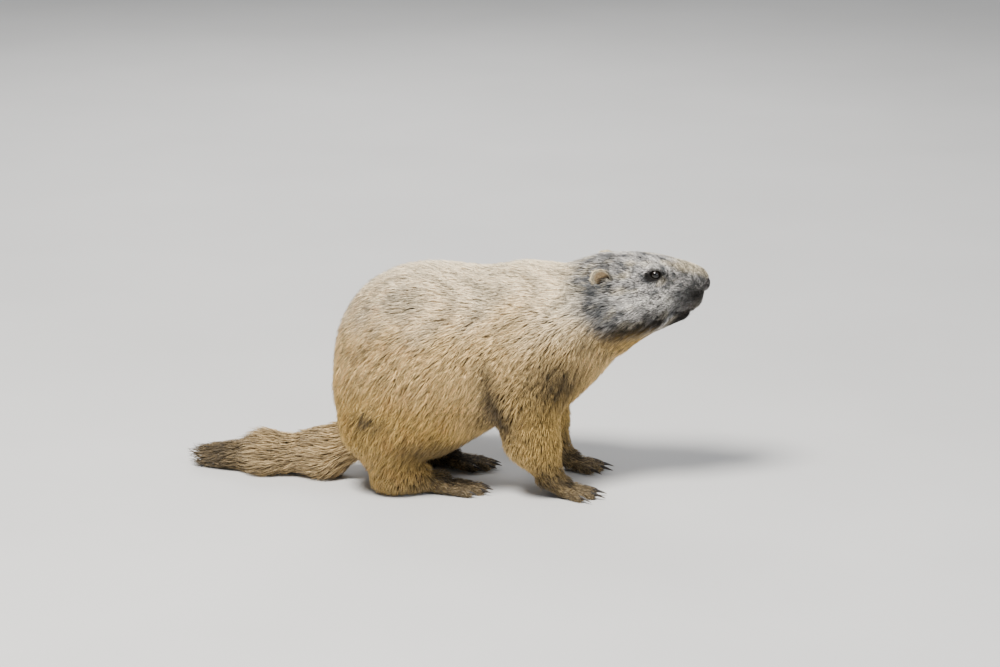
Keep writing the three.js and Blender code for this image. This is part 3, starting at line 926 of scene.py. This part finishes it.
def ear_bowl(rings=26, around=44):
    """Polar grid: the hollow is y = 3.6 r r for r from 0 to 1, and the back returns 2.6 (1 - r r r)
    + sqrt(1 - r r) below it."""
    v = np.linspace(0, 2, rings + 2)[1:-1]
    turn = np.linspace(0, 2 * math.pi, around, endpoint=False)
    r = np.where(v <= 1, v, 2 - v)[:, None]
    back = (v > 1)[:, None]
    rim = 1 + 0.06 * np.sin(turn + 0.6)
    x = EAR_HALF[0] * r * rim * np.cos(turn)
    z = EAR_HALF[1] * r * rim * np.sin(turn)
    lift = 3.6 * r * r * (1 + 0.5 * np.cos(turn - 2.6))
    shell = 2.6 * (1 - r ** 3) + np.sqrt(np.maximum(1 - r * r, 0))
    y = np.where(back, lift - shell, lift)
    ends = [[0, 0, 0], [0, -3.6, 0]]
    local = np.concatenate([np.stack([x, y, z], -1).reshape(-1, 3), ends])
    turned = turn_about(local, 0, 2, EAR_LEAN)
    tipped = turn_about(turned, 1, 2, EAR_TILT)
    hollow = np.concatenate([np.repeat(np.where(v <= 1, 1 - v, 0), around), [1, 0]])
    return tipped + EAR + (0, -1.0, 0), tube_faces(rings, around), hollow


EAR_RIM = linear(232, 216, 184)
EAR_INSIDE = linear(178, 154, 120)
# Painted shade for the lower front of the ear, where it opens into the head.
EAR_PAINTED_SHADE = linear(38, 31, 27)
EAR_LIFT = 2.4


def ear_colour(vertices, hollow):
    """Straw at the rim, tan inside, and painted shade in the lower front, where the ear opens into the
    head.
    """
    low = ramp(EAR[2] - vertices[:, 2] + 0.9 * (vertices[:, 0] - EAR[0]), -2, 6)[:, None]
    inside = ramp(hollow, 0.05, 0.4)[:, None]
    colour = EAR_RIM + (EAR_INSIDE - EAR_RIM) * inside
    # Painted shade in the lower front.
    return colour + (EAR_PAINTED_SHADE - colour) * low * ramp(hollow, 0.0, 0.2)[:, None]


ear_left, ear_faces, ear_hollow = ear_bowl()
ear_faces = facing_out(ear_left - EAR, ear_faces)
ear_sides = {"left": (ear_left, ear_faces), "right": mirror(ear_left, ear_faces)}
for side, (vertices, faces) in ear_sides.items():
    ear = make_piece(f"ear_shell_{side}", vertices, faces, "ear_coat", SKIN)
    add_tone(ear, ear_colour(ear_left, ear_hollow) * EAR_LIFT)
    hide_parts(f"ear_{side}")
print("ears:", np.ptp(ear_left, axis=0).round(1), "mm")

# %% [markdown]
# ## The claws
# Digging claws are long and only a little curved in front, shorter behind. Each is a profile carried
# along a drooping path, and the claws of one paw are joined into one piece.

# %% The claws
def claw(root, spread, toe, length, radius, rings=14, around=12):
    """Centre: the toe's end, then t length ahead and 0.16 length t (0.6 + t) down. The radius shrinks as
    (1 - t) to the power 0.7."""
    t = np.linspace(0, 0.97, rings)
    ahead = unit(np.array([*toe, 0.0]) - np.array([*knuckle(root, spread, toe)[:2], 0.0]))
    across = np.cross([0, 0, 1.0], ahead)
    start = np.array([*toe, 6.0])
    centre = start + t[:, None] * length * ahead
    centre[:, 2] -= 0.16 * length * t * (0.6 + t)
    size = radius * (1 - t) ** 0.7
    turn = np.linspace(0, 2 * math.pi, around, endpoint=False)
    ring = np.cos(turn)[:, None] * across * 0.75 + np.sin(turn)[:, None] * np.array([0, 0, 0.9])
    grid = centre[:, None] + size[:, None, None] * ring
    tip = start + length * ahead - [0, 0, 0.16 * length * 1.6]
    vertices = np.concatenate([grid.reshape(-1, 3), [start, tip]])
    return vertices, tube_faces(rings, around), np.concatenate([np.repeat(t, around), [0, 1]])


CLAW_SETS = {
    "fore": (FORE_ROOT, FORE_SPREAD, FORE_TOES, 15.0, 2.5),
    "hind": (HIND_ROOT, HIND_SPREAD, HIND_TOES, 11.5, 2.3),
}
for name, (root, spread, toes, length, radius) in CLAW_SETS.items():
    made = [claw(root, spread, toe, length, radius) for toe in toes]
    offsets = np.cumsum([0] + [len(v) for v, _, _ in made[:-1]])
    vertices = np.concatenate([v for v, _, _ in made])
    faces = np.concatenate([facing_out(v - v.mean(0), f) + o for (v, f, _), o in zip(made, offsets)])
    vertices[:, 2] = np.maximum(vertices[:, 2], 0.3)
    for side in ("left", "right"):
        both = (vertices, faces) if side == "left" else mirror(vertices, faces)
        claws = make_piece(f"{name}_claws_{side}", *both, "claw", CLAW_HORN)
        add_value(claws, "along", np.concatenate([a for _, _, a in made]))
        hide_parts(*[f"{name}_claw_{n + 1}_{side}" for n in range(len(toes))])
    print(len(toes), name, "claws on each side,", length, "mm long")

# %% [markdown]
# ## Growing the coat
# Real fur is far too many hairs, so they are gathered into tufts: thin three-sided blades that leave the
# skin, bend over and lie along the body, and end near the outline of the solids. Roots are spread evenly
# over a part, and closer together on the face. Neighbouring tufts lean together at their tips.

# %% How long and how wide a tuft is
rng = np.random.default_rng(20)
LENGTHS = (19.0, 18.0, 0.0, 24.0, 13.0, 3.6, 15.0, 3.6)
WIDTHS = (1.10, 1.05, 0.0, 1.4, 0.95, 0.65, 1.00, 0.65)


def hair_length(p, weight):
    """Long on the body, and on the head from 14 at the nape to 2.5 at the nose, longer under the chin."""
    x, z = p[:, 0], p[:, 2]
    chin = ramp(180 - z, 0, 14) * ramp(232 - x, 0, 30)
    on_head = 14 - 8.6 * ramp(x, 135, 188) - 2.9 * ramp(x, 205, 245) + 8 * chin
    return blended(weight, [on_head if name == "head" else v for name, v in zip(PARTS, LENGTHS)])


def hair_width(p, weight):
    x = p[:, 0]
    on_head = 1.0 - 0.3 * ramp(x, 135, 190) - 0.2 * ramp(x, 205, 245)
    return blended(weight, [on_head if name == "head" else v for name, v in zip(PARTS, WIDTHS)])


print("hairs on the trunk are", LENGTHS[0], "mm long and each tuft", WIDTHS[0], "mm wide")

# %% [markdown]
# Roots are spread like this: the areas of the triangles are added up one after another, and equal steps
# are taken along that total. Where more hair is wanted, an area counts for more.

# %% Spreading the roots
def triangles_of(quads):
    return np.concatenate([quads[:, [0, 1, 2]], quads[:, [0, 2, 3]]])


def evenly(p):
    return np.ones(len(p))


def more_on_the_face(p):
    return 1 + 2.6 * ramp(p[:, 0], 150, 200)


def scatter(vertices, faces, normals, density, count):
    """Evenly spread roots: equal steps along the running total of area times density, with some chance."""
    a, b, c = (vertices[faces[:, n]] for n in range(3))
    share = np.linalg.norm(np.cross(b - a, c - a), axis=1) * density(a)
    total = np.cumsum(share)
    picks = (np.arange(count) + rng.random(count)) / count * total[-1]
    chosen = np.minimum(np.searchsorted(total, picks), len(faces) - 1)
    u, v = rng.random((2, count))
    over = u + v > 1
    u[over], v[over] = 1 - u[over], 1 - v[over]
    w = np.stack([1 - u - v, u, v], 1)
    places, slopes = (np.einsum("nk,nkj->nj", w, values[faces[chosen]]) for values in (vertices, normals))
    return places, unit(slopes)


skin_faces = triangles_of(skin_quads)
print("hair can root in", len(skin_faces), "triangles")

# %% [markdown]
# Hair clumps, because damp and grease draw neighbours together. Random points stand in for the middles
# of the clumps, and each tuft leans to the nearest one.

# %% Clumps
def nearest_clump(p, size, seed):
    """Each cell of a grid holds one random point, and the nearest of those round p is its clump."""
    cell = np.floor(p / size).astype(np.int64)
    best = np.full(len(p), np.inf)
    where = np.zeros_like(p)
    luck = np.zeros(len(p))
    for i in (-1, 0, 1):
        for j in (-1, 0, 1):
            for k in (-1, 0, 1):
                near = cell + [i, j, k]
                key = (near * [73856093, 19349663, 83492791]).sum(1) + seed * 7919
                parts = [((key * m) % 1000003) / 1000003.0 for m in (48271, 69621, 39373, 16807)]
                point = (near + np.stack(parts[:3], 1)) * size
                far = ((point - p) ** 2).sum(1)
                closer = far < best
                best[closer], where[closer], luck[closer] = far[closer], point[closer], parts[3][closer]
    return where, luck


print("the clump nearest to the nose:", nearest_clump(NOSE[None], 6.5, 3)[0].round(1))

# %% [markdown]
# A tuft is a three-sided blade. Its spine leaves the skin, bends over and lies down, and across the spine
# it is wide and flat like a lock of hair.

# %% The shape of a tuft
def flat(v, normal):
    """The share of a direction that runs along the skin: v less its part along the normal."""
    return v - normal * np.einsum("ij,ij->i", v, normal)[:, None]


def tuft_arrays(root, normal, lie, length, rise, width, pull, curve, stations, sizes):
    """Spine: root + lie reach t^1.35 + normal rise (1 - (1 - t)^1.9) + pull t^1.5 + sideways curve t t.
    Three points stand round the spine at every station, and the last station is the tip."""
    t = np.array(stations)[None, :, None]
    reach = np.sqrt(np.maximum(length ** 2 - rise ** 2, (0.35 * length) ** 2))
    across = unit(np.cross(lie, normal))
    spine = (root[:, None] + lie[:, None] * reach[:, None, None] * t ** 1.35
             + normal[:, None] * (rise[:, None, None] * (1 - (1 - t) ** 1.9) - 0.5 * (t == 0))
             + pull[:, None] * t ** 1.5 + across[:, None] * curve[:, None, None] * t * t)
    tangent = unit(np.gradient(spine, axis=1))
    over = unit(np.cross(across[:, None], tangent))
    over *= np.sign(np.einsum("nkj,nj->nk", over, normal) + 1e-9)[..., None]
    half = 0.5 * width[:, None, None] * np.array(sizes)[None, :, None]
    rings = np.stack([
        spine - across[:, None] * half - over * half * 0.25,
        spine + across[:, None] * half - over * half * 0.25,
        spine + over * half * 0.55,
    ], 2)[:, :-1]
    count, levels = rings.shape[:2]
    vertices = np.concatenate([rings.reshape(count, -1, 3), spine[:, -1:]], 1)
    vertices[..., 2] = np.maximum(vertices[..., 2], 0.25)
    return vertices, levels


def tuft_faces(levels):
    """Walls between the rings, three faces to the tip, and one that closes the root."""
    faces = []
    for level in range(levels - 1):
        for a in range(3):
            b = (a + 1) % 3
            low, high = level * 3, level * 3 + 3
            faces += [(low + a, low + b, high + b), (low + a, high + b, high + a)]
    top, tip = (levels - 1) * 3, levels * 3
    faces += [(top + a, top + (a + 1) % 3, tip) for a in range(3)]
    return np.array(faces + [(0, 2, 1)])


# %% [markdown]
# The coat gets an unwrap called OFBake. Tufts that stand side by side get places side by side in it, so
# that anything baked through it passes smoothly from one to the next.

# %% The unwrap, and a mesh of many tufts
PATCH = 0.003


def unwrap_place(root, normal):
    """The side that the skin faces picks one of six charts, and the place in it is the root's place along
    that chart's two directions, measured over the piece."""
    low, size = root.min(0), np.maximum(np.ptp(root, axis=0), 1)
    share = 0.03 + 0.94 * (root - low) / size
    axis = np.abs(normal).argmax(1)
    toward = np.take_along_axis(normal, axis[:, None], 1)[:, 0] > 0
    first, second = np.array([1, 0, 0])[axis], np.array([2, 2, 1])[axis]
    u = np.take_along_axis(share, first[:, None], 1)[:, 0]
    v = np.take_along_axis(share, second[:, None], 1)[:, 0]
    return np.stack([(axis + u) / 3, (toward + v) / 2], 1)


def make_tufts(name, slot, vertices, levels, tone, along, root, normal):
    """One mesh of many tufts, with colour, place along the hair, and an unwrap called OFBake."""
    count, corners = vertices.shape[:2]
    one = facing_out(vertices[0] - vertices[0][0], tuft_faces(levels))
    faces = (one[None] + (np.arange(count) * corners)[:, None, None]).reshape(-1, 3)
    piece = make_piece(name, vertices.reshape(-1, 3), faces, slot, HAIR)
    add_tone(piece, np.repeat(tone, corners, 0))
    add_value(piece, "along", np.tile(along, count))
    place = np.repeat(unwrap_place(root, normal), corners, 0)
    sideways = np.tile(np.append(np.tile([0.0, 1.0, 0.5], levels), 0.5), count)
    patch = np.stack([sideways, np.tile(along, count)], 1) * PATCH
    layer = piece.data.uv_layers.new(name="OFBake")
    layer.data.foreach_set("uv", (place + patch)[faces.ravel()].astype(np.float32).ravel())
    return piece

# %% [markdown]
# The tail's tufts have three rings of points, so that they bend well. Everywhere else two are enough.
# Hair on the head and paws is fine: its clumps are small, and it sways and leans less. Each part's tufts
# are cut into pieces from nose to tail, because a piece of moderate size is easier to handle.

# %% Settings of the coat
LONG = {"stations": (0.0, 0.34, 0.72, 1.0), "sizes": (0.8, 1.0, 0.62, 0.0)}
SHORT = {"stations": (0.0, 0.55, 1.0), "sizes": (0.85, 0.85, 0.0)}
COARSE_HAIR = {"clump": 6.5, "sway": 0.16, "lean": 0.45}
FINE_HAIR = {"clump": 4.5, "sway": 0.10, "lean": 0.3}
EYE_REACH = 10.0
COUNTS = {"trunk": 63000, "neck": 13500, "head": 29000, "tail": 5000, "foreleg": 8500, "forepaw": 3600,
          "hindleg": 8800, "hindpaw": 4200}
THIN_OUT = 1
PIECE_TRIANGLES = 170_000
middles = skin_vertices[skin_faces].mean(1)
nearest_part = part_distances(middles).argmin(0)
coat_pieces = []
print("tufts asked for:", sum(COUNTS.values()) // THIN_OUT)

# %% [markdown]
# Some places stay bare: the soles, the eyes and their rims, the nose, the groove between the lips, and
# the skin under the ears.

# %% Where no hair grows
def bare(p, n):
    """True where no hair grows: soles, eyes and their rims, nose pad, between the lips, under the ears."""
    s = mirrored_side(p)
    sole = (p[:, 2] < 4) & (n[:, 2] < -0.6)
    eye = np.linalg.norm((s - EYE) / [8.0, 9, 6.1], axis=1) < 1
    pad = np.linalg.norm((p - NOSE) / (NOSE_RADII * 0.94), axis=1) < 1
    hollow = np.linalg.norm((s - EAR - (2, 0, -1)) / [6, 8, 8.5], axis=1) < 1
    lips = (mouth_line(s) < 1.9) & (s[:, 0] > 221)
    return sole | eye | pad | hollow | lips


print("share of the skin that is bare:", bare(skin_vertices, skin_normals).mean().round(3))

# %% [markdown]
# Combed hair looks like a toy. Real fur is ruffled: its lie wanders in slow waves, each lock differs a
# little from the next, and round the eye the short hairs point away from it.

# %% The ruffled lie
def disturbed(way, root, sway):
    """The lie of the coat with slow waves and some chance in it, and turned outwards round the eye. The
    second value is how near the eye is: exp(-(distance / reach) squared)."""
    slow = np.stack([waves(root, 34, seed) for seed in (11, 12, 13)], 1)
    way = unit(way + sway * slow + 0.10 * rng.normal(size=root.shape))
    from_eye = mirrored_side(root) - EYE
    by_eye = np.exp(-(np.linalg.norm(from_eye, axis=1) / EYE_REACH) ** 2)
    outward = unit(from_eye) * np.where(root[:, 1:2] < 0, [1, -1, 1], 1)
    return way + 3.0 * by_eye[:, None] * outward, by_eye

# %% [markdown]
# One part's coat is grown at a time. Every tuft gets its own length, rise, width, bend and shade. The
# shade follows streaks along the lie, so that neighbours in one lock look alike.

# %% Growing them
def grow(part, faces, count):
    """Roots, lie, size and colour of every tuft of one part, then its pieces."""
    shape = LONG if part == "tail" else SHORT
    kind = FINE_HAIR if part in ("head", "forepaw", "hindpaw") else COARSE_HAIR
    density = more_on_the_face if part == "head" else evenly
    root, normal = scatter(skin_vertices, faces, skin_normals, density, count)
    keep = ~bare(root, normal)
    root, normal = root[keep], normal[keep]
    weight = shares(part_distances(root))
    clump, luck = nearest_clump(root, kind["clump"], 3)
    way = coat_lie(root, weight)
    streak = sum(waves(root + way * step, 7.0, 21) for step in (-7, -2.5, 2.5, 7)) / 4
    way, by_eye = disturbed(way, root, kind["sway"])
    lie = unit(flat(way, normal))
    length = hair_length(root, weight) * rng.uniform(0.72, 1.18, len(root)) * (1 - 0.4 * by_eye)
    rise = np.minimum(coat_depth(root, weight) * rng.uniform(0.70, 1.12, len(root)), 0.75 * length)
    width = hair_width(root, weight) * rng.uniform(0.75, 1.25, len(root))
    pull = flat(clump - root, normal) * kind["lean"]
    curve = rng.normal(size=len(root)) * 0.07 * length
    mottle = 1.35 if part == "head" else 0.75
    shade = 0.95 + 0.16 * luck + 0.80 * streak + mottle * (rng.random(len(root)) - 0.5)
    tone = marking(root) * np.maximum(shade, 0.2)[:, None]
    along = np.append(np.repeat(shape["stations"][:-1], 3), 1.0)
    slot = {"head": "head_coat", "neck": "throat_coat", "tail": "tail_coat"}.get(part, "body_coat")
    slot = "paw_coat" if part.endswith("paw") else slot
    per_tuft = len(tuft_faces(len(shape["stations"]) - 1))
    parts = max(1, math.ceil(len(root) * per_tuft / PIECE_TRIANGLES))
    order = np.argsort(-root[:, 0], kind="stable")
    for n, chosen in enumerate(np.array_split(order, parts)):
        measures = [values[chosen] for values in (root, normal, lie, length, rise, width, pull, curve)]
        vertices, levels = tuft_arrays(*measures, **shape)
        coat_pieces.append(make_tufts(f"coat_{part}_{n + 1}", slot, vertices, levels, tone[chosen], along,
                                      root[chosen], normal[chosen]))


for number, part in enumerate(PARTS):
    grow(part, skin_faces[nearest_part == number], COUNTS[part] // THIN_OUT)
print("coat:", len(coat_pieces), "pieces,", sum(len(p.data.polygons) for p in coat_pieces), "triangles")

# %% [markdown]
# ## Hair on the ears, and whiskers
# The ears carry short straw-coloured hair that points to the rim. Whiskers are single stiff dark hairs
# from the lip pads, swept back.

# %% Ear hair
def grow_on_ear(side, vertices, faces, count):
    """Tufts on one ear, pointing from its middle to its rim and lying close."""
    triangle = vertices[faces]
    face_normal = unit(np.cross(triangle[:, 1] - triangle[:, 0], triangle[:, 2] - triangle[:, 0]))
    normals = np.zeros_like(vertices)
    for n in range(3):
        np.add.at(normals, faces[:, n], face_normal)
    root, normal = scatter(vertices, faces, unit(normals), evenly, count)
    middle = vertices.mean(0)
    outward = root - middle
    hollow_side = (normal[:, 1] * (1 if side == "left" else -1)) > 0.2
    near_rim = np.linalg.norm(outward[:, [0, 2]] / EAR_HALF, axis=1)
    keep = ~hollow_side | (near_rim > 0.84)
    root, normal, outward, near_rim = root[keep], normal[keep], outward[keep], near_rim[keep]
    way = unit(outward * [1, 0.3, 1]) + 0.25 * rng.normal(size=root.shape)
    lie = unit(flat(way, normal))
    length = rng.uniform(2.6, 4.4, len(root))
    none = np.zeros(len(root))
    made, levels = tuft_arrays(root, normal, lie, length, 0.25 * length, rng.uniform(0.5, 0.8, len(root)),
                               np.zeros_like(root), none, **SHORT)
    shade = (0.75 + 0.45 * rng.random(len(root)))[:, None]
    front = ramp(root[:, 0] - EAR[0], 1, 6)[:, None]
    tone = np.where(near_rim[:, None] > 0.55, EAR_RIM, GRIZZLE)
    tone = (tone + (SLATE - tone) * 0.8 * front) * shade
    along = np.append(np.repeat(SHORT["stations"][:-1], 3), 1.0)
    return make_tufts(f"coat_ear_{side}", "ear_coat", made, levels, tone, 0.4 + 0.6 * along, root, normal)


for side, (vertices, faces) in ear_sides.items():
    ear_coat = grow_on_ear(side, vertices, faces, 2600 // THIN_OUT)
    print(ear_coat.name, "has", len(ear_coat.data.polygons), "triangles")

# %% [markdown]
# Whiskers are cones drawn along an arc, so thin that only their gleam is seen.

# %% Whiskers
SWEEP = np.array([-0.75, 0, -0.25])
WHISKER_RADIUS = 0.17


def whiskers(side, count=16, rings=9, around=5):
    """Thin cones along an arc: root + t length way + t t length sweep, where the sweep is back and down."""
    luck = np.random.default_rng(5)
    out = 1 if side == "left" else -1
    roots = np.stack([luck.uniform(236, 249, count), out * luck.uniform(13, 17, count),
                      luck.uniform(192, 203, count)], 1)
    way = unit(np.stack([luck.uniform(-0.3, 0.5, count), out * np.ones(count),
                         luck.uniform(-0.7, 0.25, count)], 1))
    length = luck.uniform(16, 30, count)[:, None, None]
    t = np.linspace(0, 1, rings + 1)[None, :, None]
    spine = roots[:, None] + way[:, None] * length * t + SWEEP * length * t * t
    tangent = unit(np.gradient(spine, axis=1))
    level = unit(np.cross(tangent, [0, 0, 1.0]))
    over = np.cross(level, tangent)
    turn = np.linspace(0, 2 * math.pi, around, endpoint=False)[:, None]
    size = WHISKER_RADIUS * (1 - 0.85 * t[..., None])
    ring = np.cos(turn) * level[:, :, None] + np.sin(turn) * over[:, :, None]
    grid = (spine[:, :, None] + size * ring)[:, :-1].reshape(count, -1, 3)
    vertices = np.concatenate([grid, spine[:, :1], spine[:, -1:]], 1)
    one = facing_out(vertices[0] - vertices[0].mean(0), tube_faces(rings, around))
    faces = (one[None] + (np.arange(count) * vertices.shape[1])[:, None, None]).reshape(-1, 3)
    piece = make_piece(f"whiskers_{side}", vertices.reshape(-1, 3), faces, "head_coat", HAIR)
    add_tone(piece, np.repeat(linear(62, 54, 48)[None], vertices.size // 3, 0))
    add_value(piece, "along", np.full(vertices.size // 3, 0.8))


for side in ("left", "right"):
    whiskers(side)
print("whiskers:", 2 * WHISKER_RADIUS, "mm thick at the root")

# %% [markdown]
# ## Floor, light and camera
# A pale floor and large soft lamps show the form. The camera looks at the animal's right side from a
# little in front and above, through a long lens, at the distance where one picture element covers one
# millimetre.

# %% The stage
def make_floor():
    floor_mesh = bpy.data.meshes.new("floor")
    half = 15.0
    corners = [(-half, -half, 0), (half, -half, 0), (half, half, 0), (-half, half, 0)]
    floor_mesh.from_pydata(corners, [], [(0, 1, 2, 3)])
    floor = bpy.data.objects.new("floor", floor_mesh)
    bpy.context.scene.collection.objects.link(floor)
    material, tree, shader = new_material("floor", Roughness=0.9, Specular_IOR_Level=0.1)
    shade = ramp_node(tree, noise(tree, 3).outputs["Fac"], (0.3, 0.58), (0.7, 0.62))
    tree.links.new(shade.outputs["Color"], shader.inputs["Base Color"])
    floor_mesh.materials.append(material)


def place_looking(thing, place, target):
    """Turns an object so that its -Z axis points from its place to the target."""
    thing.location = place
    thing.rotation_euler = (Vector(target) - Vector(place)).to_track_quat("-Z", "Y").to_euler()
    bpy.context.scene.collection.objects.link(thing)


def lamp(name, place, size, power, colour):
    light = bpy.data.lights.new(name, "AREA")
    light.shape, light.size, light.energy, light.color = "DISK", size, power, colour
    place_looking(bpy.data.objects.new(name, light), place, (0, 0, 0.12))


make_floor()
lamp("key", (-0.5, -1.1, 2.3), 0.8, 150, (1.0, 0.965, 0.90))
lamp("front", (1.9, -1.6, 1.2), 1.0, 24, (0.95, 0.97, 1.0))
lamp("rim", (-0.4, 1.9, 1.5), 1.4, 32, (1.0, 0.98, 0.95))
world = bpy.data.worlds.new("studio")
world.use_nodes = True
world.node_tree.nodes["Background"].inputs["Color"].default_value = (0.90, 0.94, 1.0, 1)
world.node_tree.nodes["Background"].inputs["Strength"].default_value = 0.34
bpy.context.scene.world = world
print("lamps:", [light.name for light in bpy.data.lights])

# %% [markdown]
# The camera's place follows from two angles and a distance. A shy animal is seen from afar through a long
# lens, which flattens it a little, so the camera stands four metres away.

# %% The camera
AZIMUTH, ELEVATION = math.radians(6), math.radians(15)
LOOK = np.array([0.0503, 0, 0.154])
DISTANCE = 4.0
lens = bpy.data.cameras.new("camera")
lens.lens, lens.sensor_width, lens.dof.use_dof = 144, 36, False
camera = bpy.data.objects.new("camera", lens)
level = math.cos(ELEVATION)
away = np.array([math.sin(AZIMUTH) * level, -math.cos(AZIMUTH) * level, math.sin(ELEVATION)])
place_looking(camera, tuple(LOOK + DISTANCE * away), tuple(LOOK))
bpy.context.scene.camera = camera
print("camera at", [round(value, 3) for value in camera.location])
